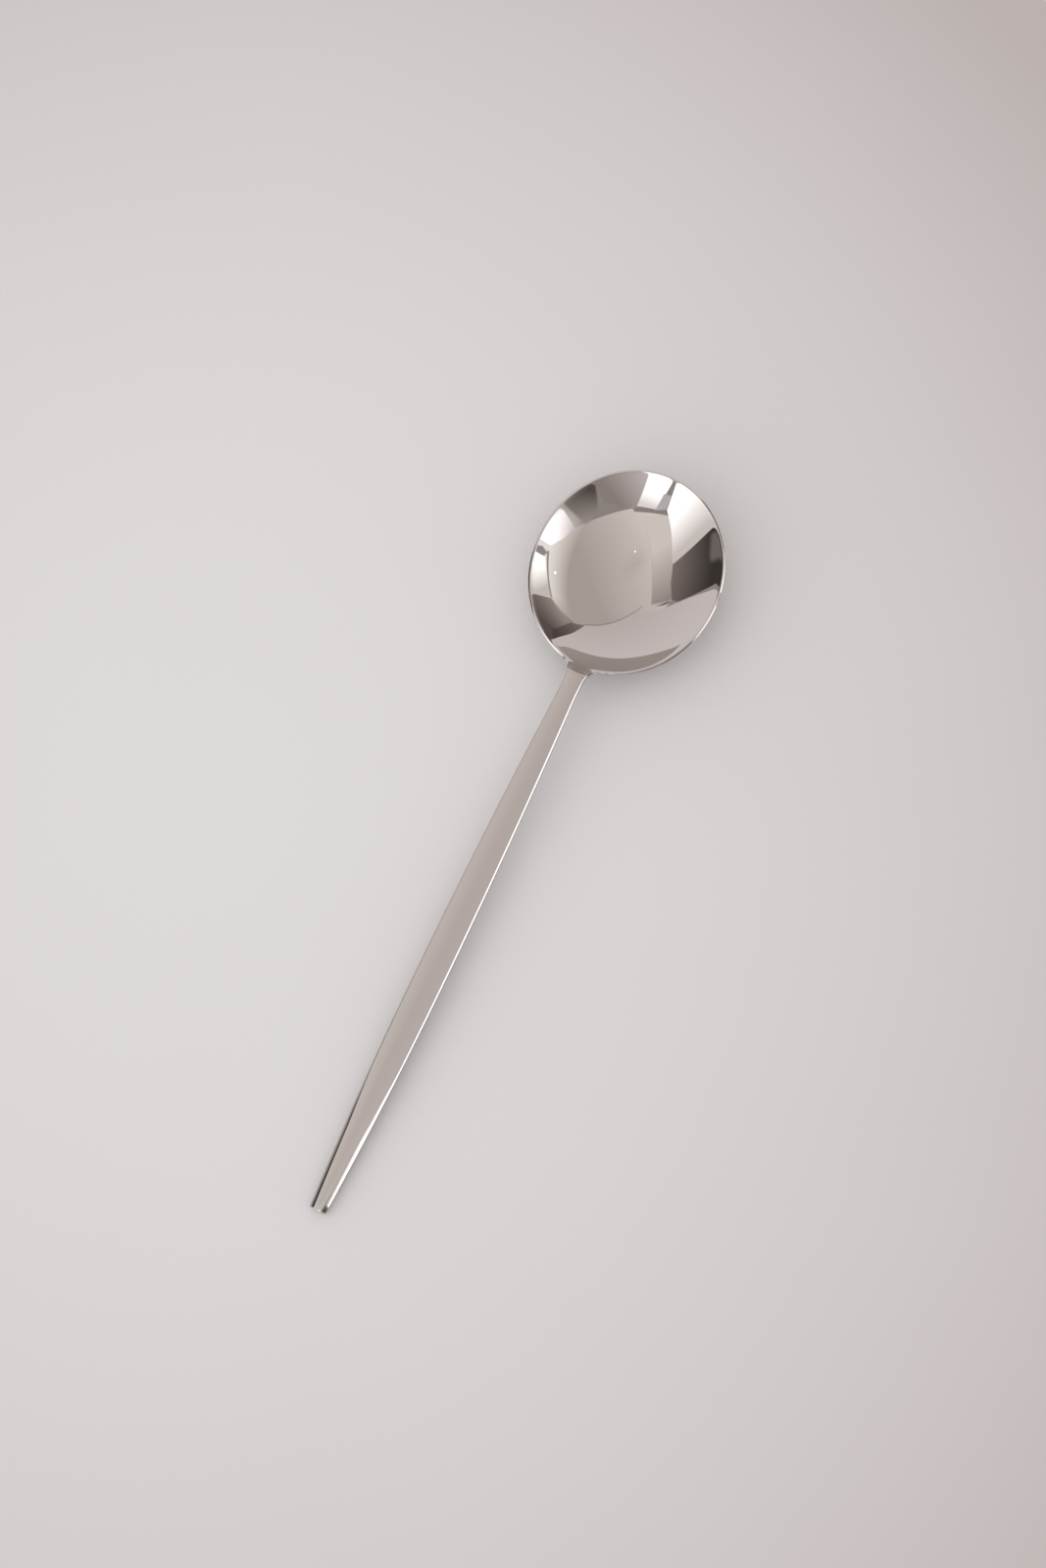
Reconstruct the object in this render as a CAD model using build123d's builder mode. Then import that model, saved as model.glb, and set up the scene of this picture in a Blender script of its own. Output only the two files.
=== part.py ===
from build123d import *
import os
from math import atan2, cos, degrees, hypot, radians, sin, sqrt

# A round-bowled soup spoon with a slim, solid, double-tapered handle, lying on a table.
# The pressed bowl carries a short neck and a tang, and the tang is brazed into the handle.
# Millimetres, +Y along the spoon from the handle's end to the bowl's tip, +Z up.
# The origin lies on the table, under the middle of the spoon's length.

# Driving dimensions of the whole spoon
overall_length = 190.0
rim_tilt = 5.0              # degrees by which the rim rises towards the tip when the spoon lies still

# Driving dimensions of the bowl
bowl_width = 45.6
bowl_length = 51.4
bowl_depth = 9.4            # from the rim plane to the deepest point of the dished face
bowl_wall = 1.3
rim_land = 0.5              # width of the rim's flat top, from the outline to the dished face

# Driving dimensions of the neck
crest_reach = 2.5           # from the heel of the rim back to the crest, where the dish ends
crest_height = 3.1          # crest above the rim plane
sweep_start = 0.6           # how far before the heel the rim starts to sweep up to the crest
sweep_radius = 2.5
neck_length = 5.0           # from the crest back to the seam with the handle
neck_width = 4.4
neck_thickness = 4.0
neck_edge = 0.7             # rounding along the neck's long edges
neck_flare = 5.0            # radius in plan between the neck and the rim
neck_root = 4.0             # radius under the neck, where it meets the back of the bowl

# Driving dimensions of the handle
grip_width = 7.15           # the widest place
grip_from_end = 57.0
grip_edge = 0.6
end_width = 4.0
end_thickness = 3.0
end_edge = 1.1
end_round = 0.4             # rounding around the flat end face
crown = 0.25                # how far the broad faces bulge in the middle

# Driving dimensions of the brazed joint
tang_width = 3.0
tang_thickness = 1.6
tang_length = 12.0
braze_gap = 0.08            # all around the tang and at its tip

# The dished face is part of a spheroid whose axis runs lengthwise above the rim plane.
# The back of the bowl is the same spheroid, larger by the wall.
tilt = radians(rim_tilt)
half_width = bowl_width / 2
half_length = bowl_length / 2
dish_half_width = half_width - rim_land
dish_half_length = half_length - rim_land
dish_radius = (dish_half_width**2 + bowl_depth**2) / (2 * bowl_depth)
dish_pole = dish_radius * dish_half_length / dish_half_width
axis_height = dish_radius - bowl_depth
back_radius = dish_radius + bowl_wall
back_pole = dish_pole + bowl_wall

# The rim plane is placed so that the tip ends the spoon and the back of the bowl touches the table.
drop_to_table = hypot(back_pole * sin(tilt), back_radius * cos(tilt))
rim_y = overall_length / 2 - half_length * cos(tilt)
rim_z = drop_to_table - axis_height * cos(tilt)
rim_plane = Plane(origin=(0, rim_y, rim_z), x_dir=(1, 0, 0), z_dir=(0, -sin(tilt), cos(tilt)))
side_plane = Plane(origin=rim_plane.origin, x_dir=rim_plane.y_dir, z_dir=rim_plane.x_dir)
lengthwise = Axis(rim_plane.origin, rim_plane.y_dir)
dish_axis = Axis(rim_plane.from_local_coords((0, 0, axis_height)), rim_plane.y_dir)

# The handle's top is one straight line from its end to the crest, and its slope follows from both.
crest = rim_plane.from_local_coords((0, -half_length - crest_reach, crest_height))
end_y = -overall_length / 2
handle_rise = (crest.Z - end_thickness) / (crest.Y - end_y)
handle_slope = atan2(crest.Z - end_thickness, crest.Y - end_y)
towards_bowl = Vector(0, cos(handle_slope), sin(handle_slope))
seam_y = crest.Y - neck_length
handle_length = seam_y - end_y

# The neck is first made longer and taller than it ends up, so that its blend into the bowl runs out on it.
spare_length = 2 * neck_root + neck_thickness
spare_height = crest_height
neck_reach = neck_length + crest_reach + neck_thickness
block_height = bowl_depth + bowl_wall + crest_height


def handle_plane(from_end):
    """The upright cross plane at a distance from the handle's end, with its origin on the top line."""
    top = (0, end_y + from_end, end_thickness + from_end * handle_rise)
    return Plane(origin=top, x_dir=(1, 0, 0), z_dir=(0, -1, 0))


def bar_profile(width, thickness, edge):
    """A bar's cross-section under its top line: two bulged broad faces, flat sides, rounded edges."""
    side = width / 2
    with BuildLine() as section:
        top = ThreePointArc((-side, -crown), (0, 0), (side, -crown))
        bottom = ThreePointArc((side, crown - thickness), (0, -thickness), (-side, crown - thickness))
        Line(top @ 1, bottom @ 0)
        Line(bottom @ 1, top @ 0)
    fillet(make_face(section.edges()).vertices(), edge)


def tall_neck_profile():
    """The neck's section with its own underside and sides, but with a spare height of metal on top."""
    side = neck_width / 2
    with BuildLine() as section:
        low = crown - neck_thickness
        bottom = ThreePointArc((-side, low), (0, -neck_thickness), (side, low))
        Polyline(bottom @ 1, (side, spare_height), (-side, spare_height), bottom @ 0)
    fillet(make_face(section.edges()).vertices().group_by(Axis.Y)[0], neck_edge)


def over_neck_profile():
    """All that lies above the neck's bulged top and its rounded upper edges, as wide as the bowl."""
    side = neck_width / 2
    shoulder = -crown - neck_edge
    with BuildLine() as section:
        top = ThreePointArc((-side, -crown), (0, 0), (side, -crown))
        Polyline(top @ 1, (side, shoulder), (bowl_width, shoulder), (bowl_width, 2 * block_height))
        Polyline((bowl_width, 2 * block_height), (-bowl_width, 2 * block_height), (-bowl_width, shoulder))
        Polyline((-bowl_width, shoulder), (-side, shoulder), top @ 0)
    area = make_face(section.edges())
    fillet([area.vertices().sort_by_distance(top @ end)[0] for end in (0, 1)], neck_edge)


def tang_profile(clearance):
    """The tang's section in the middle of the neck's, larger all around by a clearance."""
    with Locations((0, -neck_thickness / 2)):
        Rectangle(tang_width + 2 * clearance, tang_thickness + 2 * clearance)


def spheroid_profile(pole, radius):
    """The half-ellipse above the dish's axis, in the side plane."""
    with BuildLine() as half_ellipse:
        arc = EllipticalCenterArc((0, axis_height), pole, radius, arc_size=180)
        Line(arc @ 1, arc @ 0)
    make_face(half_ellipse.edges())


def between(low, high, share):
    """The value a share of the way from low to high."""
    return low + (high - low) * share


def arc_width(from_end):
    """The handle's width: two long arcs in plan, tangent to each other at the grip."""
    if from_end < grip_from_end:
        span = grip_from_end
        narrowing = (grip_width - end_width) / 2
    else:
        span = handle_length - grip_from_end
        narrowing = (grip_width - neck_width) / 2
    radius = (span**2 + narrowing**2) / (2 * narrowing)
    return grip_width - 2 * (radius - sqrt(radius**2 - (from_end - grip_from_end)**2))


def long_edge(from_end):
    """The rounding of the handle's long edges, tightest at the grip."""
    if from_end < grip_from_end:
        return between(end_edge, grip_edge, from_end / grip_from_end)
    return between(grip_edge, neck_edge, (from_end - grip_from_end) / (handle_length - grip_from_end))


# The bowl's outline in plan, as a tall block: the rim's ellipse, the neck and a flare on each side
with BuildPart() as outline:
    with BuildSketch(rim_plane):
        Ellipse(half_width, half_length)
        with Locations((0, -half_length)):
            Rectangle(neck_width, 2 * (crest_reach + neck_length + spare_length))
    extrude(amount=block_height, both=True)
    upright = outline.edges().filter_by(Axis(rim_plane.origin, rim_plane.z_dir))
    fillet(upright.sort_by(lengthwise)[2:4], neck_flare)

# The hollow of the dish: the lower cap of its spheroid, up to a spare height above the crest
with BuildPart() as hollow:
    with BuildSketch(side_plane):
        spheroid_profile(dish_pole, dish_radius)
    revolve(axis=dish_axis)
    split(bisect_by=rim_plane.offset(crest_height + spare_height), keep=Keep.BOTTOM)

with BuildPart() as bowl:
    # The back of the bowl as a whole spheroid, and the neck blended into it below and beside
    with BuildSketch(side_plane):
        spheroid_profile(back_pole, back_radius)
    revolve(axis=dish_axis)
    with BuildSketch(handle_plane(handle_length - spare_length)):
        tall_neck_profile()
    extrude(amount=spare_length + neck_reach, dir=towards_bowl)
    neck_joint = bowl.edges(Select.LAST).filter_by(GeomType.BSPLINE).sort_by(Axis.Z)
    fillet(neck_joint[:-1], neck_root)

    # Trimmed to the outline, to the neck's own top and to the rim line that sweeps up to the crest
    add(outline.part, mode=Mode.INTERSECT)
    with BuildSketch(handle_plane(handle_length - spare_length)):
        over_neck_profile()
    extrude(amount=overall_length, dir=towards_bowl, mode=Mode.SUBTRACT)
    with BuildSketch(side_plane):
        sweep_foot = sweep_start - half_length
        sweep_run = (sweep_start + crest_reach) * block_height / crest_height
        with BuildLine():
            rim_line = FilletPolyline(
                (bowl_length, 0),
                (sweep_foot, 0),
                (sweep_foot - sweep_run, block_height),
                radius=sweep_radius,
            )
            Polyline(rim_line @ 1, (bowl_length, block_height), rim_line @ 0)
        make_face()
    extrude(amount=bowl_width, both=True, mode=Mode.SUBTRACT)

    # Dished, cut off at the seam and given its tang
    add(hollow.part, mode=Mode.SUBTRACT)
    split(bisect_by=Plane(origin=(0, seam_y, 0), z_dir=(0, 1, 0)), keep=Keep.TOP)
    with BuildSketch(handle_plane(handle_length)):
        tang_profile(0)
    extrude(amount=tang_length, dir=-towards_bowl)
bowl.part.label = "bowl"

# The handle: a solid bar, lofted through cross-sections, with a blind slot for the tang
stations = [grip_from_end * step / 3 for step in range(4)]
stations += [between(grip_from_end, handle_length, step / 3) for step in range(1, 4)]
with BuildPart() as handle:
    for station in stations:
        thickness = between(end_thickness, neck_thickness, station / handle_length)
        with BuildSketch(handle_plane(station)):
            bar_profile(arc_width(station), thickness, long_edge(station))
    loft()
    fillet(handle.faces().sort_by(Axis.Y)[0].edges(), end_round)
    with BuildSketch(handle_plane(handle_length)):
        tang_profile(braze_gap)
    extrude(amount=tang_length + braze_gap, dir=-towards_bowl, mode=Mode.SUBTRACT)
handle.part.label = "handle"

# The braze: a thin foil of filler that lines the slot and wraps the tang
with BuildPart() as braze_foil:
    with BuildSketch(handle_plane(handle_length)):
        tang_profile(braze_gap)
    extrude(amount=tang_length + braze_gap, dir=-towards_bowl)
    with BuildSketch(handle_plane(handle_length)):
        tang_profile(0)
    extrude(amount=tang_length, dir=-towards_bowl, mode=Mode.SUBTRACT)
braze_foil.part.label = "braze_foil"

os.makedirs("parts", exist_ok=True)
export_step(bowl.part, "parts/bowl.step")
export_step(handle.part, "parts/handle.step")
export_step(braze_foil.part, "parts/braze_foil.step")

print("handle slope", round(degrees(handle_slope), 2), "degrees, length", round(handle_length, 2))
print("rim centre at y", round(rim_y, 3), "z", round(rim_z, 3), "seam at y", round(seam_y, 3))
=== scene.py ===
# %% [markdown]
# A polished soup spoon on a pale table. The packed CAD model is the fixed frame: it gives the place and the
# size of every piece. Here the spoon gets skins that are smooth enough for a mirror finish, its metals, and a
# small studio around it.

# %% Load the frame
import bpy
import numpy as np
from math import cos, hypot, pi, radians, sin, sqrt
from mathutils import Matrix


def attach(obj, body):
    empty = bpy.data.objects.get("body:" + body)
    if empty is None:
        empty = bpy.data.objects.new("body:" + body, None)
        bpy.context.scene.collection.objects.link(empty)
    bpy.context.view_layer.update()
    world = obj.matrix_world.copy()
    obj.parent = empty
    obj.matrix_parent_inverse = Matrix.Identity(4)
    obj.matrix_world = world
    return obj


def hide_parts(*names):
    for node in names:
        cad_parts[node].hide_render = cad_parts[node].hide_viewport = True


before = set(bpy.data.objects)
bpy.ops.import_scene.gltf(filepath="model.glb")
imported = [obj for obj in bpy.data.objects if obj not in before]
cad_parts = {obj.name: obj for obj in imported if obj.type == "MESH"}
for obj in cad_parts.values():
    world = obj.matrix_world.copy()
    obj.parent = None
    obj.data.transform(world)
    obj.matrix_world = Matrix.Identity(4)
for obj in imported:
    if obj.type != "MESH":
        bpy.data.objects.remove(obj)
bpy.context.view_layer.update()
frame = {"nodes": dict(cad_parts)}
print("CAD nodes:", ", ".join(frame["nodes"]))

# %% [markdown]
# The bowl is built as a pressing, with its two faces an even wall apart. The sizes are those of the CAD model,
# in millimetres. Its dished face is part of a spheroid: an ellipse turned about a lengthwise axis above the
# rim. The back is the same spheroid, larger by the wall. The rim's own frame has x across, u towards the tip
# and v out of the bowl, and it is tilted by five degrees, as the spoon lies on the back of its bowl.

# %% Sizes of the bowl
half_spoon = 95.0
tilt = radians(5.0)
half_width, half_length, depth, wall, land = 22.8, 25.7, 9.4, 1.3, 0.5
dish_half_width, dish_half_length = half_width - land, half_length - land
dish_radius = (dish_half_width**2 + depth**2) / (2 * depth)
dish_pole = dish_radius * dish_half_length / dish_half_width
back_radius, back_pole = dish_radius + wall, dish_pole + wall
axis_height = dish_radius - depth
rim_y = half_spoon - half_length * cos(tilt)
rim_z = hypot(back_pole * sin(tilt), back_radius * cos(tilt)) - axis_height * cos(tilt)


def from_rim(points):
    """Points of the rim's frame, in the spoon's own frame."""
    x, u, v = np.asarray(points, float).T
    y = rim_y + u * cos(tilt) - v * sin(tilt)
    z = rim_z + u * sin(tilt) + v * cos(tilt)
    return np.stack([x, y, z], axis=1)


def spheroid(x, u, radius, pole):
    """The height of a spheroid's lower side above the rim plane."""
    return axis_height - np.sqrt(radius**2 - x**2 - (u * radius / pole) ** 2)


print("rim centre at y", round(rim_y, 2), "z", round(rim_z, 2), "and dish radius", round(dish_radius, 2))

# %% [markdown]
# In the photograph the dish mirrors its own far side as a crescent, and an exact spheroid puts the edge of that
# crescent a little off. So the dish is taken to be slightly flatter at the sides and fuller at the tip. A
# sculpting brush or a lattice could do that, but a mirror shows every ripple. A formula with a few fitted
# numbers moves the face by up to half a millimetre and stays smooth everywhere.

# %% The dished face
side_swell, side_growth = 1.085, 1.038
end_swell, end_growth, tip_swell = 2.163, 2.123, 1.284
soft_rim, soft_heel = 0.0016, 0.02    # how gently the swell fades out at the rim, and how much more at the heel
heel_power, heel_narrowing = 8, 20


def dish(x, u):
    """The dished face, a little flatter at the sides and fuller at the tip than the spheroid."""
    across, along = (x / dish_half_width) ** 2, u / dish_half_length
    out = across + along**2
    heel = soft_heel * np.clip(-along, 0, None) ** heel_power * np.exp(-heel_narrowing * across)
    inside = (1 - out + np.sqrt((1 - out) ** 2 + (soft_rim + heel))) / 2
    at_sides = (side_swell + side_growth * out**2) * across
    at_ends = (end_swell - end_growth * out**2 + tip_swell * out * along) * along**2
    return spheroid(x, u, dish_radius, dish_pole) + inside * (at_sides - at_ends)


print("the dish is", round(-dish(0.0, 0.0), 2), "deep in the middle,", round(-dish(15.0, 0.0), 2), "at x 15")

# %% [markdown]
# The neck joins the bowl to the handle. Its top is one straight line with the handle's top, from the flat end
# up to the crest, where the dish runs out. The place of the seam and the handle's rise could be measured on the
# CAD mesh. Here they follow from the sizes, as they do in the CAD model.

# %% Sizes of the neck and the handle
crest_reach, crest_v = 2.5, 3.1
neck_length, neck_half, neck_thickness = 5.0, 2.2, 4.0
end_y, end_thickness = -half_spoon, 3.0
crest_u = -half_length - crest_reach
crest_y, crest_z = from_rim([(0, crest_u, crest_v)])[0, 1:]
rise = (crest_z - end_thickness) / (crest_y - end_y)
seam_y = crest_y - neck_length
handle_length = seam_y - end_y
neck_fall = np.tan(np.arctan(rise) - tilt)
print("seam at y", round(seam_y, 2), "and handle rise", round(rise, 4))

# %% [markdown]
# On both sides the rim line sweeps up to the crest, and below, the neck leads smoothly into the back of the
# bowl. A mesh could be bridged and smoothed here. But each of these surfaces has a simple formula, and formulas
# keep the reflections clean.

# %% The neck's surfaces
sweep_start, sweep_radius = 0.6, 2.5
crown, root_blend = 0.25, 1.8


def neck_line(u):
    """The neck's top line, in the rim's frame."""
    return crest_v + neck_fall * (u - crest_u)


def neck_top(x, u):
    """The neck's slightly crowned top."""
    return neck_line(u) - crown * (x / neck_half) ** 2


def sweep(u):
    """The rim line from the side: level, then bending up through a radius, then straight to the crest."""
    foot = half_length - sweep_start
    steep = np.arctan(crest_v / (-crest_u - foot))
    start = foot - sweep_radius * np.tan(steep / 2)
    if -u < start:
        return 0.0
    if -u < start + sweep_radius * sin(steep):
        return sweep_radius - sqrt(sweep_radius**2 - (-u - start) ** 2)
    return (-u - foot) * np.tan(steep)


def underside(x, u):
    """The back of the bowl, running smoothly out into the neck's underside."""
    bowl_back = spheroid(x, u, back_radius, back_pole)
    neck_back = neck_line(u) - neck_thickness + crown * (x / neck_half) ** 2
    blend = np.clip(root_blend - np.abs(bowl_back - neck_back), 0, None)
    return np.minimum(bowl_back, neck_back) - blend**2 / (4 * root_blend)


print("metal under the rim's heel:", round(sweep(-half_length) - underside(0.0, -half_length), 2))

# %% [markdown]
# Both metal pieces are lofts: rings of vertices, each laid on the section that the real piece has there, with a
# skin over them. Pushing vertices by eye would do for a matt object, but a mirror shows every dent, so the rings
# follow the formulas. One layout of columns serves bowl and handle, so that their rings meet at the seam.

# %% The columns of half a ring, from the middle of the top to the middle of the underside
TOP, BACK, ROUND = 22, 14, 6
BROAD, NEAR_EDGE = 0.9, [0.95, 0.985]
top_share = np.linspace(0, 1, TOP)
broad_share = np.concatenate([top_share * BROAD, NEAR_EDGE])
back_share = np.linspace(1, 0, BACK)
quarter = np.linspace(0, pi / 2, ROUND)
print("columns across half the top:", len(broad_share), "and half the underside:", len(back_share))

# %% [markdown]
# Seen from above, the rim is an ellipse, and at the heel a flare of five millimetres leads it into the neck.
# Each ring of the bowl belongs to one point of that outline. The flare is a circle that touches the ellipse and
# the neck's side. It could be placed by trial. Looking its middle up along the ellipse's normals is closer and
# follows every change of a size.

# %% The bowl's outline
flare, OUTLINE_STEPS = 5.0, 20001
angles = np.linspace(pi / 2, pi, OUTLINE_STEPS)
normals = np.stack([np.sin(angles) / half_width, np.cos(angles) / half_length])
normals /= np.linalg.norm(normals, axis=0)
circle_x = half_width * np.sin(angles) + flare * normals[0]
touch = np.interp(-neck_half - flare, -circle_x, angles)


def rim_point(angle):
    """A point of the rim's ellipse, and the way into the metal there."""
    point = np.array([half_width * sin(angle), half_length * cos(angle)])
    inward = -np.array([sin(angle) / half_width, cos(angle) / half_length])
    return point, inward / np.linalg.norm(inward)


touch_point, touch_inward = rim_point(touch)
flare_middle = touch_point - flare * touch_inward
flare_angle = np.arctan2(touch_inward[1], -touch_inward[0])


def flare_point(angle):
    """A point of the flare beside the neck, and the way into the metal there."""
    inward = np.array([-cos(angle), sin(angle)])
    return flare_middle + flare * inward, inward


def side(u):
    """Half the width of the neck and its flare."""
    return flare_middle[0] - sqrt(flare**2 - max(u - flare_middle[1], 0) ** 2)


print("the flare touches the rim at", touch_point.round(2))
print("the neck is", round(2 * side(crest_u), 2), "wide at the crest")

# %% [markdown]
# The top of the rim is a narrow flat land between the outline and the dish, which shows as a thin line around
# the bowl. An inset of the outline would give it one width, but here the dish decides where it ends, and it
# runs out towards the neck. So halving finds its width at each point of the outline.

# %% The land
HALVINGS, LAND_LIMIT = 40, 2.0


def rim_land(point, inward):
    """How far inside the outline the dish starts: halving finds where the dish meets the rim line."""
    near, far = 0.0, LAND_LIMIT
    for _ in range(HALVINGS):
        middle = (near + far) / 2
        inner = point + inward * middle
        if dish(*inner) > sweep(inner[1]):
            near = middle
        else:
            far = middle
    return middle


print("the land is", round(rim_land(*rim_point(0.0)), 2), "wide at the tip")

# %% [markdown]
# A rim isn't left sharp: its outer edge is taken off as a slope, and its lower edge is broken. A bevel modifier
# gives one width, but these edges have to shrink with the land. So every ring holds them as points of its own,
# given as shares of the edge's width. A ring starts in the middle of the dish, goes straight across to the
# land, over it and down the slope, and comes back along the underside.

# %% The edges of the rim
EDGE_WIDTH, EDGE_SHARE, EDGE_DROP = 0.4, 0.7, 0.8    # its width, its largest share of the land, its drop
RIM_EDGE = ((1.0, 0.0), (0.88, 0.05), (0.16, 0.58), (0.08, 0.65), (0.02, 0.72), (0.0, EDGE_DROP))
LOWER_WIDTH, LOWER_SHARE = 0.3, 0.4                  # its width, and its largest share of the rim's height
LOWER_EDGE = ((0.0, 1.0), (0.12, 0.45), (0.5, 0.12))
LIP_INSET, LIP_DROP, LAND_SHARE, BACK_INSET = 0.22, 0.035, 0.4, 0.985


def bowl_ring(point, inward):
    """The ring that belongs to a point of the outline."""
    width = rim_land(point, inward)
    edge = min(EDGE_WIDTH, EDGE_SHARE * width)
    inner = point + inward * (width + LIP_INSET)
    x = top_share * inner[0]
    rows = [np.stack([x, np.full(TOP, inner[1]), dish(x, inner[1])], axis=1)]
    for offset, drop in ((width, LIP_DROP), (width - LAND_SHARE * (width - edge), 0.0)):
        place = point + inward * offset
        rows.append([(*place, sweep(place[1]) - drop)])
    for offset, drop in RIM_EDGE:
        place = point + inward * edge * offset
        rows.append([(*place, sweep(place[1]) - edge * drop)])
    rim, low = sweep(point[1]) - EDGE_DROP * edge, underside(*point)
    soft = min(LOWER_WIDTH, LOWER_SHARE * (rim - low))
    rows.append([(*point, (rim + low + soft) / 2)])
    for offset, up in LOWER_EDGE:
        lower = point + inward * (offset * soft)
        rows.append([(*lower, min(underside(*lower), low) + up * soft)])
    foot = point + inward * soft
    rows.append([(*foot, underside(*foot))])
    x = back_share * (foot[0] * BACK_INSET)
    rows.append(np.stack([x, np.full(BACK, foot[1]), underside(x, foot[1])], axis=1))
    return from_rim(np.concatenate(rows))


print("points in half a ring:", len(bowl_ring(*rim_point(pi / 2))))

# %% [markdown]
# The rings follow the outline from the tip around the rim and along the flare. Even steps of the angle bring
# them closer together at the tip and at the heel, where the outline lies across the spoon.

# %% The rings of the rim and the flare
RIM_RINGS, FLARE_RINGS, FLARE_END = 97, 13, radians(27)
around_rim = np.linspace(0, touch, RIM_RINGS)
along_flare = np.linspace(flare_angle, FLARE_END, FLARE_RINGS)[1:]
rings = [bowl_ring(*rim_point(angle)) for angle in around_rim]
rings += [bowl_ring(*flare_point(angle)) for angle in along_flare]
print("rings from the tip to the flare:", len(rings))

# %% [markdown]
# Behind the crest the spoon is a bar with bulged broad faces and flat sides. Its upper edges are taken off as
# slopes, broad at the end and next to nothing at the crest. A bevel would give one width all along, so the
# slopes are part of each ring. Their angle decides what they mirror: a white line on the right, and on the left
# a pale edge that turns dark near the end.

# %% The bar's upper edges
EDGE_SLOPE, CREST_RUN = 39.5, 0.12
FACET_SHARES = np.array([0.0, 0.12, 0.88, 0.95, 0.985, 1.0])
FACET_DEPTHS = np.array([0.0, 0.11, 0.93, 1.03, 1.13, 1.28])
BEHIND_CREST, NARROW_RUNS = [0.0, 3.0, 8.0], [CREST_RUN, 0.2, 0.3]
FROM_END, BROAD_RUNS = [0, 20, 27, 34], [1.1, 0.87, 0.58]


def facet(half, run, slope):
    """An edge taken off as a slope: how far out its points are, and how deep below the broad face."""
    out = half - run * (1 - FACET_SHARES)
    return np.stack([out, run * np.tan(radians(slope)) * FACET_DEPTHS], axis=1)


def edge_run(from_end):
    """The slope's width at a distance from the handle's end."""
    narrow = np.interp(handle_length + neck_length - from_end, BEHIND_CREST, NARROW_RUNS)
    return np.interp(from_end, FROM_END, [*BROAD_RUNS, narrow])


print("the slopes are", edge_run(0.0), "wide at the end,", round(edge_run(handle_length), 2), "at the seam")

# %% [markdown]
# Each ring of the bar is a whole section: the bulged top, the slope, the flat side, a rounded lower edge and the
# bulged underside. Near the end a ring is made smaller all around by an inset, which rounds the end face off.
# Scaling the ring could do that too, but an inset keeps the rounding the same on the broad and the narrow faces.

# %% One ring of the bar
LOWER_ROUND, RUN_LOSS, LEAST_RUN = 0.6, 0.6, 0.1
END_SLOPE, SLOPE_CHANGE = 37.3, [24, 31]


def bar_ring(from_end, half, inset=0.0):
    """The bar's ring at a distance from the handle's end, smaller all around by an inset."""
    thickness = np.interp(from_end, [0, handle_length], [end_thickness, neck_thickness]) - 2 * inset
    slope = np.interp(from_end, SLOPE_CHANGE, [END_SLOPE, EDGE_SLOPE])
    half, run = half - inset, max(edge_run(from_end) - RUN_LOSS * inset, LEAST_RUN)
    shoulder = half - run
    x = broad_share * shoulder
    section = [np.stack([x, -crown * (x / half) ** 2], axis=1)]
    corner = crown * (shoulder / half) ** 2
    section += [facet(half, run, slope) * (1, -1) - (0, corner), [(half, -thickness / 2)]]
    for angle in quarter[1:-1]:
        low = LOWER_ROUND * (1 - sin(angle)) + crown - thickness
        section.append([(half - LOWER_ROUND * (1 - cos(angle)), low)])
    x = back_share * (half - LOWER_ROUND)
    section.append(np.stack([x, -thickness + crown * (x / half) ** 2], axis=1))
    x, drop = np.concatenate(section).T
    top = end_thickness + from_end * rise - inset
    return np.stack([x, np.full(len(x), end_y + from_end), top + drop], axis=1)


print("the bar's highest point at the seam:", round(bar_ring(handle_length, neck_half)[:, 2].max(), 2))

# %% [markdown]
# The crest is the crisp line across the neck in which the dish runs out through the neck's top. A boolean cut
# could make it, but it leaves long thin triangles, and a mirror shows those. Here halving finds the line in
# every column, one ring lies on it, and a ring close ahead of it and one close behind keep it crisp.

# %% The crest
CREST_LEAD, CREST_BREAK, CREST_SEARCH, CREST_STEPS = 0.3, 0.05, 2.0, (0.22, 0.0, -0.22)
NECK_ROUND, NECK_BACK_INSET = 0.7, 0.3


def crest_ring(ahead):
    """The ring at the crest, or a little ahead of it or behind it."""
    half = side(crest_u + CREST_LEAD + ahead)
    across = broad_share * (half - CREST_RUN)
    near = np.full(len(across), crest_u + CREST_SEARCH)
    far = np.full(len(across), crest_u - CREST_SEARCH)
    for _ in range(HALVINGS):
        middle = (near + far) / 2
        above = dish(across, middle) > neck_top(across, middle)
        near, far = np.where(above, near, middle), np.where(above, middle, far)
    u = middle + ahead
    v = dish(across, u) if ahead > 0 else neck_top(across, u) - (CREST_BREAK if ahead == 0 else 0)
    rows = [np.stack([across, u, v], axis=1)]
    rows += [[(x, u[-1], v[-1] - drop)] for x, drop in facet(half, CREST_RUN, EDGE_SLOPE)]
    low = underside(half, u[-1])
    rows.append([(half, u[-1], (v[-1] + low) / 2)])
    for angle in quarter[1:-1]:
        out, up = NECK_ROUND * (1 - cos(angle)), NECK_ROUND * (1 - sin(angle))
        rows.append([(half - out, u[-1], low + up)])
    x = back_share * (half - NECK_BACK_INSET)
    rows.append(np.stack([x, np.full(BACK, u[-1]), underside(x, u[-1])], axis=1))
    return from_rim(np.concatenate(rows))


rings += [crest_ring(ahead) for ahead in CREST_STEPS]
print("the crest's middle is at y", round(rings[-2][0, 1], 2), "z", round(rings[-2][0, 2], 2))

# %% [markdown]
# The bowl and its neck are one pressing, so one skin covers both as far as the seam. Separate rings could be
# bridged. Here one circle is extruded in place, once for every further ring, so that the faces come out as even
# rows of quads. Then each vertex is laid out: its number tells its ring, and its angle on the circle its column.

# %% The bowl's skin
MM = 0.001
NECK_STEPS = (0.6, 0.9, 1.3, 1.8, 2.4, 3.1, 4.0, neck_length)


def closed(half):
    """A whole ring from its right half: the left half mirrors it, without a second middle point."""
    mirrored = half[-2:0:-1] * np.array([-1.0, 1.0, 1.0])
    return np.concatenate([half, mirrored])


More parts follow.
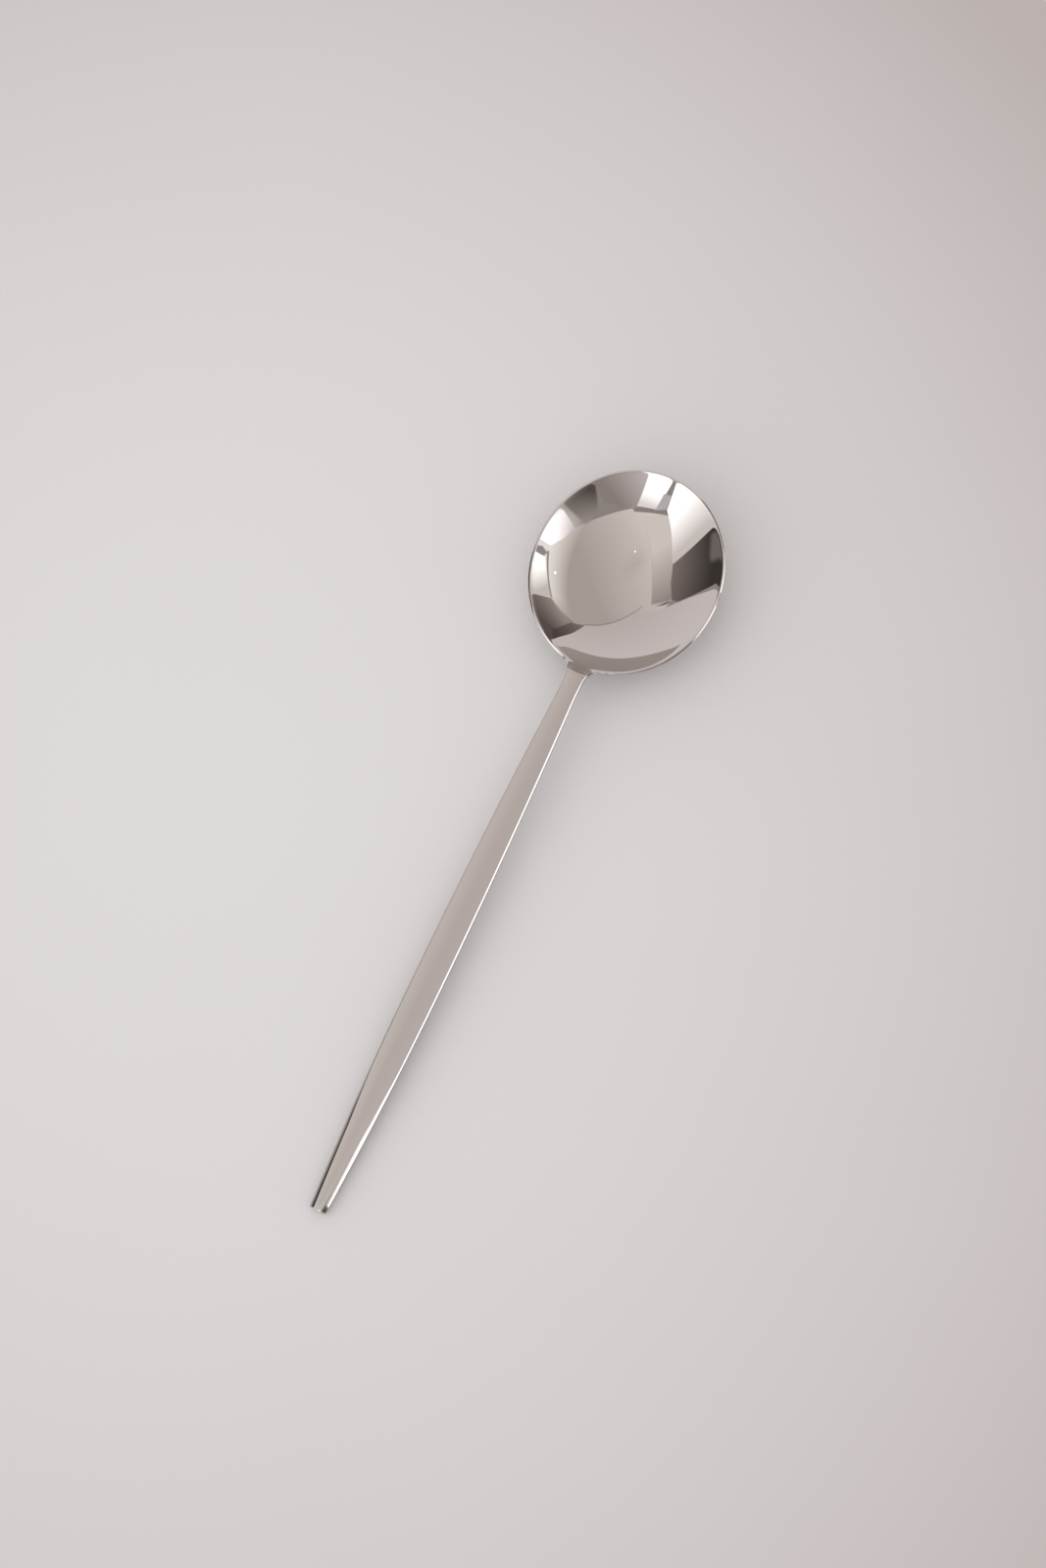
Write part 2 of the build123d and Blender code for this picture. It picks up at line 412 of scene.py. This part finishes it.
def loft(name, rings):
    """A skin over a row of rings."""
    around = len(rings[0])
    bpy.ops.object.select_all(action="DESELECT")
    bpy.ops.mesh.primitive_circle_add(vertices=around, radius=1.0, location=(0, 0, 0))
    piece = bpy.context.object
    piece.name = piece.data.name = name
    bpy.ops.object.mode_set(mode="EDIT")
    bpy.ops.mesh.select_all(action="SELECT")
    for _ in rings[1:]:
        bpy.ops.mesh.extrude_edges_indiv()
    bpy.ops.object.mode_set(mode="OBJECT")
    flat = np.empty(3 * len(piece.data.vertices))
    piece.data.vertices.foreach_get("co", flat)
    x, y = flat.reshape(-1, 3)[:, :2].T
    column = np.rint(np.arctan2(y, x) * around / (2 * pi)).astype(int) % around
    row = np.arange(len(column)) // around
    place = np.stack(rings)[row, column] * MM
    piece.data.vertices.foreach_set("co", place.ravel())
    piece.data.update()
    print(name, "has", len(rings), "rings of", around, "vertices")
    return piece


for behind in NECK_STEPS:
    rings.append(bar_ring(handle_length + neck_length - behind, side(crest_u - behind)))
bowl = loft("bowl_skin", [closed(ring) for ring in rings])

# %% [markdown]
# The handle is one straight bar. In plan its width follows two long arcs that meet at the grip, and its end is
# cut off square and rounded a little. A scaled cube could be subdivided and pulled into that shape, but the same
# rings as for the neck make the seam fit without any adjustment.

# %% The handle's skin
grip_half, grip_from_end, end_half, end_round = 3.575, 57.0, 2.0, 0.4
HANDLE_RINGS = 81


def handle_half(from_end):
    """Half the handle's width at a distance from its end."""
    span, narrow = grip_from_end, end_half
    if from_end >= grip_from_end:
        span, narrow = handle_length - grip_from_end, neck_half
    radius = (span**2 + (grip_half - narrow) ** 2) / (2 * (grip_half - narrow))
    return grip_half - (radius - sqrt(radius**2 - (from_end - grip_from_end) ** 2))


places = [(end_round * (1 - sin(angle)), end_round * (1 - cos(angle))) for angle in quarter[::-1]]
places += [(from_end, 0.0) for from_end in np.linspace(end_round, handle_length, HANDLE_RINGS)[1:]]
handle_rings = [bar_ring(from_end, handle_half(from_end), inset) for from_end, inset in places]
handle = loft("handle_skin", [closed(ring) for ring in handle_rings])

# %% [markdown]
# Bowl and handle end in flat faces at the seam, and the handle's free end is flat as well. Each of these open
# rings is filled with one face. At the bowl's tip the first ring lies folded flat, so its doubled vertices are
# merged. Then the skins are shaded smooth, except at edges sharper than 42 degrees. A subdivision modifier could
# smooth them further, but it would soften the crest, and the rings are close enough without it.

# %% Close the ends, merge what coincides and smooth the skins
ON_RING, DOUBLED, SHARP = 1e-6, 1e-7, radians(42)


def choose(piece):
    """Makes a piece the only selected one, and the active one."""
    bpy.ops.object.select_all(action="DESELECT")
    piece.select_set(True)
    bpy.context.view_layer.objects.active = piece


def close_end(piece, y):
    """Fills the open ring at a place along the spoon."""
    choose(piece)
    for vertex in piece.data.vertices:
        vertex.select = bool(abs(vertex.co.y - y * MM) < ON_RING)
    for face in piece.data.polygons:
        face.select = False
    for edge in piece.data.edges:
        edge.select = all(piece.data.vertices[i].select for i in edge.vertices)
    bpy.ops.object.mode_set(mode="EDIT")
    bpy.ops.mesh.edge_face_add()
    bpy.ops.object.mode_set(mode="OBJECT")


def finish_skin(piece):
    """Merges doubled vertices, turns the faces outwards and shades the skin smooth."""
    choose(piece)
    bpy.ops.object.mode_set(mode="EDIT")
    bpy.ops.mesh.select_all(action="SELECT")
    bpy.ops.mesh.remove_doubles(threshold=DOUBLED)
    bpy.ops.mesh.normals_make_consistent(inside=False)
    bpy.ops.object.mode_set(mode="OBJECT")
    bpy.ops.object.shade_smooth_by_angle(angle=SHARP)
    print(piece.name, len(piece.data.polygons), "faces", [round(v, 4) for v in piece.dimensions])


close_end(bowl, seam_y)
close_end(handle, seam_y)
close_end(handle, end_y)
finish_skin(bowl)
finish_skin(handle)

# %% [markdown]
# Shader maths reads best as plain arithmetic, so a socket is wrapped in a small class whose operators add Math
# nodes. Every other node comes from one method, which takes the node's settings first and then values or links
# for its sockets. Nodes could be placed by hand in the editor, but written down they can be read and changed.


# %% A class for sockets and one for node trees
class Value:
    """A socket with Python's arithmetic."""

    def __init__(self, tree, socket):
        self.tree, self.socket = tree, socket

    def _math(self, operation, *values):
        return self.tree.node("ShaderNodeMath", {"operation": operation}, *values)

    def __add__(self, other):
        return self._math("ADD", self, other)

    def __sub__(self, other):
        return self._math("SUBTRACT", self, other)

    def __rsub__(self, other):
        return self._math("SUBTRACT", other, self)

    def __mul__(self, other):
        return self._math("MULTIPLY", self, other)

    __radd__, __rmul__ = __add__, __mul__


class Tree:
    """A node tree that is written as expressions."""

    def __init__(self, owner):
        owner.use_nodes = True
        self.tree = owner.node_tree
        self.tree.nodes.clear()

    def node(self, kind, settings=None, *values, output=0, **named):
        """Adds a node: its settings first, then values or links for its sockets, by order or by identifier."""
        node = self.tree.nodes.new(kind)
        for name, setting in (settings or {}).items():
            setattr(node, name, setting)
        sockets = {socket.identifier: socket for socket in node.inputs}
        wanted = list(zip(node.inputs, values)) + [(sockets[name], value) for name, value in named.items()]
        for socket, value in wanted:
            if isinstance(value, Value):
                self.tree.links.new(value.socket, socket)
            else:
                socket.default_value = value
        outputs = {socket.identifier: socket for socket in node.outputs}
        if not outputs:
            return None
        return Value(self, outputs[output] if output in outputs else node.outputs[output])


print("operators of a socket:", [name for name in vars(Value) if name.endswith(("add__", "sub__", "mul__"))])

# %% [markdown]
# Bowl and handle are one kind of stainless steel. The dish is polished to a mirror and only shows a trace of
# wiping. The handle and the neck have faint polishing lines along the spoon, and their steel colour is darkened
# a little by painted shade, to match the photograph's tone. The finish changes at the crest, so both materials
# follow the same rule over the place along the spoon, and the seam behind the crest stays unseen. The lines
# could be a painted picture. Noise that is stretched lengthwise needs no picture and no unwrapping.

# %% Steel
MIRROR_STARTS, MIRROR_FULL = 0.0405, 0.042    # places along the spoon, in metres
# Behind the crest the steel colour is darkened by painted shade, so the satin colour is darker than the bright
# one.
BRIGHT_STEEL, SHADED_SATIN_STEEL = (0.62, 0.598, 0.582), (0.589, 0.568, 0.553)
LINE_SCALE, LINE_STRETCH, SMEAR_SCALE, FINE = 3200.0, (1.0, 0.02, 1.0), 90.0, 3.0


def mix(tree, share, first, last):
    """The first colour, and as much of the last one as the share says."""
    first, last = [colour if isinstance(colour, Value) else (*colour, 1.0) for colour in (first, last)]
    colours = {"A_Color": first, "B_Color": last, "output": "Result_Color"}
    return tree.node("ShaderNodeMix", {"data_type": "RGBA"}, Factor_Float=share, **colours)


def steel(name, piece):
    """Stainless steel: mirror bright ahead of the crest, with faint lengthwise lines and painted shade behind
    it.
    """
    material = bpy.data.materials.new(name)
    tree = Tree(material)
    place = tree.node("ShaderNodeTexCoord", output="Object")
    along = tree.node("ShaderNodeSeparateXYZ", None, place, output="Y")
    gentle = {"interpolation_type": "SMOOTHSTEP"}
    mirror = tree.node("ShaderNodeMapRange", gentle, along, MIRROR_STARTS, MIRROR_FULL, 0.0, 1.0)
    drawn = tree.node("ShaderNodeMapping", None, Vector=place, Scale=LINE_STRETCH)
    lines = tree.node("ShaderNodeTexNoise", None, Vector=drawn, Scale=LINE_SCALE, Detail=FINE)
    smears = tree.node("ShaderNodeTexNoise", None, Vector=place, Scale=SMEAR_SCALE, Detail=FINE)
    satin = 0.07 + 0.05 * smears + 0.05 * lines
    bright = 0.012 + 0.03 * smears
    grooves = lines * (1.0 - mirror)
    shader = tree.node(
        "ShaderNodeBsdfPrincipled",
        None,
        **{"Base Color": mix(tree, mirror, SHADED_SATIN_STEEL, BRIGHT_STEEL), "Metallic": 1.0},
        Roughness=satin + mirror * (bright - satin),
        Normal=tree.node("ShaderNodeBump", None, Strength=0.03, Distance=0.0001, Height=grooves),
    )
    tree.node("ShaderNodeOutputMaterial", None, shader)
    piece.data.materials.append(material)
    print(name, "with", len(tree.tree.nodes), "nodes")


steel("polished_steel", bowl)
steel("satin_steel", handle)

# %% [markdown]
# Inside the joint, filler metal surrounds the bowl's tang as a thin layer. It is out of sight, so a skin of its
# own would be wasted, and the CAD mesh stays as it is. It only gets its own metal, a pale yellow alloy whose
# roughness varies, as that of a melt that has flowed.

# %% Filler metal
BRAZE, FLOW_SCALE = (0.78, 0.68, 0.46, 1.0), 900.0
material = bpy.data.materials.new("braze")
filler = Tree(material)
place = filler.node("ShaderNodeTexCoord", output="Object")
flow = filler.node("ShaderNodeTexNoise", None, Vector=place, Scale=FLOW_SCALE, Detail=FINE)
shader = filler.node(
    "ShaderNodeBsdfPrincipled",
    None,
    **{"Base Color": BRAZE, "Metallic": 1.0},
    Roughness=0.25 + 0.3 * flow,
)
filler.node("ShaderNodeOutputMaterial", None, shader)
foil = frame["nodes"]["braze_foil"]
for slot in foil.material_slots:
    slot.material = material
print("braze with", len(filler.tree.nodes), "nodes on", foil.name)

# %% [markdown]
# The spoon lies on a plain pale table top that is brightest around it and darkens outwards. A lamp could make
# that pool of light, but the steel would mirror the lamp too. So the fading is painted: an oval around the
# spoon, with a little mottling, mixes the pale colour with a darker one.

# %% Floor
FLOOR_SIZE, MOST_FADING, MOTTLING, MOTTLE_SCALE = 40.0, 0.42, 0.02, 14.0
PALE, DARK = (0.8, 0.78, 0.775), (0.176, 0.086, 0.066)
OVAL = {
    "Location": (-0.069, -0.016, 0.0),
    "Rotation": (0.0, 0.0, radians(25.4)),
    "Scale": (0.412, 0.476, 1.0),
}
bpy.ops.object.select_all(action="DESELECT")
bpy.ops.mesh.primitive_plane_add(size=FLOOR_SIZE, location=(0, 0, 0))
floor = bpy.context.object
floor.name = "floor"
material = bpy.data.materials.new("table_top")
table = Tree(material)
place = table.node("ShaderNodeTexCoord", output="Object")
mottle = table.node("ShaderNodeTexNoise", None, Vector=place, Scale=MOTTLE_SCALE, Detail=2.0)
oval = table.node("ShaderNodeMapping", {"vector_type": "TEXTURE"}, Vector=place, **OVAL)
spread = table.node("ShaderNodeVectorMath", {"operation": "DOT_PRODUCT"}, oval, oval, output="Value")
fading = table.node("ShaderNodeMath", {"operation": "MINIMUM"}, spread, MOST_FADING) + MOTTLING * mottle
tone = mix(table, fading, PALE, DARK)
shader = table.node("ShaderNodeBsdfPrincipled", None, **{"Base Color": tone}, Roughness=0.7)
table.node("ShaderNodeOutputMaterial", None, shader)
floor.data.materials.append(material)
print("floor of", FLOOR_SIZE, "m with", len(table.tree.nodes), "nodes")

# %% [markdown]
# A mirror finish shows whatever stands around it: here a ceiling, a wall, a card, dark screens and soft boxes.
# They could be planes and lamps, but those would light the floor as well. So the studio is painted on the world,
# as panels with straight edges that are laid over each other. A direction is given as a turn from the spoon's
# line, clockwise seen from above, and a height above the table, both in degrees.

# %% Tools for the studio
world = bpy.data.worlds.new("studio")
bpy.context.scene.world = world
room = Tree(world)
towards = room.node("ShaderNodeTexCoord", output="Generated")
CRISP, THIN = 0.012, 0.006    # how soft a panel's edges are, and those of a thin panel


def heading(turn, height):
    """The unit vector of a direction."""
    turn, height = radians(turn), radians(height)
    return np.array([sin(turn) * cos(height), cos(turn) * cos(height), sin(height)])


def reach(axis):
    """How far the direction that is looked up reaches along an axis."""
    dot = {"operation": "DOT_PRODUCT"}
    return room.node("ShaderNodeVectorMath", dot, towards, tuple(axis), output="Value")


def panel(light, colour, corners, softness=CRISP):
    """Lays a panel with straight edges over the light so far."""
    mask = None
    middle = sum(heading(*corner) for corner in corners)
    for start, end in zip(corners, corners[1:] + corners[:1]):
        across = np.cross(heading(*start), heading(*end))
        across *= np.sign(across @ middle) / (np.linalg.norm(across) * softness)
        within = room.node("ShaderNodeMath", {"operation": "ADD", "use_clamp": True}, reach(across), 0.5)
        mask = within if mask is None else mask * within
    return mix(room, mask, light, colour)


def ramp(first, last, start, end):
    """A colour that changes evenly from one direction to another."""
    start, end = heading(*start), heading(*end)
    axis = (end - start) / ((end - start) @ (end - start))
    before = float(start @ axis)
    share = room.node("ShaderNodeMath", {"operation": "SUBTRACT", "use_clamp": True}, reach(axis), before)
    return mix(room, share, first, last)


print("turn 90, height 0 is the direction", heading(90, 0).round(3))

# %% [markdown]
# The wall stands beyond the handle's end, on the right. The ceiling is paler towards the handle's end than
# towards the bowl's tip, with a soft glow on the right, a strip with a thin line along it on the left, and a
# dark beam. A soft shade overhead takes the handle's tone down a little more. All of these were set by trial,
# until the steel had the photograph's tones.

# %% Wall and ceiling
light = (0.4, 0.36, 0.34)
light = panel(
    light,
    ramp((0.38, 0.33, 0.31), (0.82, 0.76, 0.77), (132, 32), (168, 14)),
    [(122, -5), (122, 34), (151, 47), (172, 40), (172, -5)],
)
light = panel(
    light,
    ramp((0.98, 0.91, 0.87), (0.6, 0.53, 0.5), (-150, 62), (30, 62)),
    [(151, 46.7), (-156, 38), (-75, 36.6), (-20, 32), (42.5, 23.2), (71, 24), (91.2, 34.2)],
)
light = panel(light, (1.25, 1.19, 1.15), [(100, 30), (72, 10), (42, 10), (34, 27)], softness=0.3)
light = panel(
    light,
    ramp((0.95, 0.88, 0.84), (0.45, 0.39, 0.36), (-125, 60), (-74, 42)),
    [(168.9, 54.8), (-64.5, 49.3), (-75, 36.6), (-110, 40), (-156, 38)],
)
line = [(168.6, 54.6), (-64.5, 49.0), (-64.6, 49.8), (169.4, 55.4)]
light = panel(light, (0.62, 0.56, 0.53), line, softness=THIN)
light = panel(light, (0.38, 0.33, 0.32), [(151, 46.7), (-157, 36.5), (-154.5, 39.8), (154, 50.2)])
shade = [(58, 83.4), (-6, 78.8), (-95, 75), (-138, 78.1)]
light = panel(light, (0.72, 0.645, 0.615), shade, softness=0.2)
print("wall and ceiling:", len(room.tree.nodes), "nodes so far")

# %% [markdown]
# A pale card stands beyond the bowl's tip, on the left, with a thin dark line along its top. Dark screens
# between the bright places give the steel its contrast, as black cards do when silverware is photographed. Each
# fades a little, because no screen is lit evenly.

# %% Card and dark screens
light = panel(
    light,
    ramp((0.74, 0.665, 0.65), (0.86, 0.79, 0.785), (-30, 50), (-40, 5)),
    [(16, 0), (10.7, 37), (-58, 53.8), (-78, 27), (-91, 6), (-35, -40)],
)
line = [(10.7, 37), (-58, 53.8), (-57.2, 54.5), (12, 37.7)]
light = panel(light, (0.4, 0.34, 0.31), line, softness=THIN)
light = panel(
    light,
    ramp((0.28, 0.24, 0.225), (0.06, 0.05, 0.046), (-88, 47), (-92, 14)),
    [(-126, -2), (-99.8, 48.5), (-84.5, 44.7), (-75, 36.6), (-76.1, 23.8), (-86.9, 11.8), (-93, 0)],
)
light = panel(
    light,
    (0.23, 0.195, 0.195),
    [(-118, 5), (-117, 14), (-103, 17), (-99.5, 15.5), (-104, 5)],
    softness=0.05,
)
light = panel(light, (0.2, 0.17, 0.16), [(-58, 54), (-66, 45.5), (-73.5, 38.5), (-74, 36), (-67, 42)])
light = panel(
    light,
    ramp((0.5, 0.42, 0.38), (0.14, 0.115, 0.11), (30, 27), (28, 10)),
    [(45, -5), (42, 22.9), (21, 27.5), (15.5, 8), (16, -5)],
)
light = panel(
    light,
    ramp((0.3, 0.24, 0.22), (0.1, 0.08, 0.075), (12, 35), (17, 9)),
    [(10.7, 37), (21, 27), (20.9, 10.4), (15.2, 7), (12.5, 19.5)],
)
light = panel(
    light,
    ramp((0.12, 0.1, 0.09), (0.5, 0.45, 0.42), (112, 20), (98, 39)),
    [(97, -5), (97.4, 12.3), (94.8, 39.1), (102.9, 39.5), (114.6, 35.6), (122.6, 19), (123, -5)],
    softness=0.03,
)
print("card and dark screens:", len(room.tree.nodes), "nodes so far")

# %% [markdown]
# Two pairs of soft boxes shine on the spoon, one pair beyond the handle's end and one on the right. Each fades
# towards one side. Grey bars stand between the two of a pair, and another runs along the top of the last one.

# %% Soft boxes
light = panel(
    light,
    ramp((2.3, 2.3, 2.35), (1.15, 1.09, 1.07), (-178, 22), (-178, 42)),
    [(171, -2), (157, 44.5), (-174.7, 43), (-171, 14), (-169, -2)],
)
light = panel(
    light,
    ramp((1.95, 1.95, 1.97), (0.9, 0.83, 0.81), (-154.2, 17), (-125.4, 12.1)),
    [(-170.5, -2), (-162, 37), (-131.2, 48.8), (-107.5, 50.4), (-99.8, 48.5), (-126, -2)],
)
light = panel(light, (0.69, 0.67, 0.67), [(-174.2, 25.2), (-165.5, 23.6), (-163.8, 38), (-175.9, 44.1)])
light = panel(
    light,
    ramp((2.5, 2.5, 2.55), (0.95, 0.87, 0.88), (82, 16), (90, 33)),
    [(97, -2), (97.4, 12.3), (91.2, 34.2), (82, 31.4), (73.6, 24.9), (73, -2)],
)
bar = [(73.2, -2), (73.1, 15.4), (68.8, 23.7), (65.4, 21.3), (65.4, -2)]
light = panel(light, (0.42, 0.39, 0.4), bar)
light = panel(
    light,
    ramp((2.4, 2.4, 2.35), (0.85, 0.79, 0.76), (62, 12), (48, 20)),
    [(65.4, -2), (65.9, 22.3), (57.8, 23.8), (42.5, 23.2), (45, -2)],
)
bar = [(70, 23.4), (42.5, 22.9), (42.5, 23.9), (70, 24.6)]
light = panel(light, (0.4, 0.36, 0.34), bar, softness=0.008)
print("soft boxes:", len(room.tree.nodes), "nodes so far")

# %% [markdown]
# Two small lamps put the sparks into the dish. The camera and the mirrors see the studio as it is painted. The
# table is lit mostly by a plain soft sky instead, brighter on the left, so that the studio's colours don't tint
# it much and the spoon's shadow falls softly to the right.

# %% Lamps and sky
LAMPS = ((-170, 82.6, 0.5), (59.3, 29.9, 0.7))    # turn, height and half size
LAMP_LIGHT, SKY_SHARE = (5.0, 4.9, 4.7), 0.7
for turn, height, size in LAMPS:
    wide = size / cos(radians(height))
    corners = [(turn - wide, height), (turn, height + size), (turn + wide, height), (turn, height - size)]
    light = panel(light, LAMP_LIGHT, corners, softness=THIN)
rays = ("Is Camera Ray", "Is Glossy Ray", "Is Transmission Ray")
seen = sum(room.node("ShaderNodeLightPath", output=ray) for ray in rays)
sky = ramp((1.38, 1.385, 1.39), (0.56, 0.565, 0.57), (-115, 10), (65, 10))
light = mix(room, seen, mix(room, SKY_SHARE, light, sky), light)
shown = room.node("ShaderNodeBackground", None, light, 1.0)
room.node("ShaderNodeOutputWorld", None, shown)
print("studio with", len(room.tree.nodes), "nodes")

# %% [markdown]
# The camera looks down on the spoon as in the photograph. It is half a metre up, over a place just beyond the
# handle's end and to its right. It could be placed by eye. Instead its place was fitted to the handle's end,
# the neck and the rim in the photograph, for a lens of 50 millimetres.

# %% Camera
CAMERA_PLACE, CAMERA_TURN = (0.0565, -0.107, 0.496), (radians(15.15), 0, radians(25.37))
bpy.ops.object.camera_add(location=CAMERA_PLACE, rotation=CAMERA_TURN)
camera = bpy.context.object
camera.data.lens, camera.data.sensor_width = 50.0, 36.0
bpy.context.scene.camera = camera
bpy.context.scene.view_settings.view_transform = "Standard"
print("camera", round(camera.location.length, 3), "m from the middle of the spoon")

# %% [markdown]
# Last, each skin takes the place of its CAD piece and rides on the spoon's one body.

# %% Hand the pieces over
for piece, node, slot in ((bowl, "bowl", "polished_steel"), (handle, "handle", "satin_steel")):
    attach(piece, "root")
    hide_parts(node)
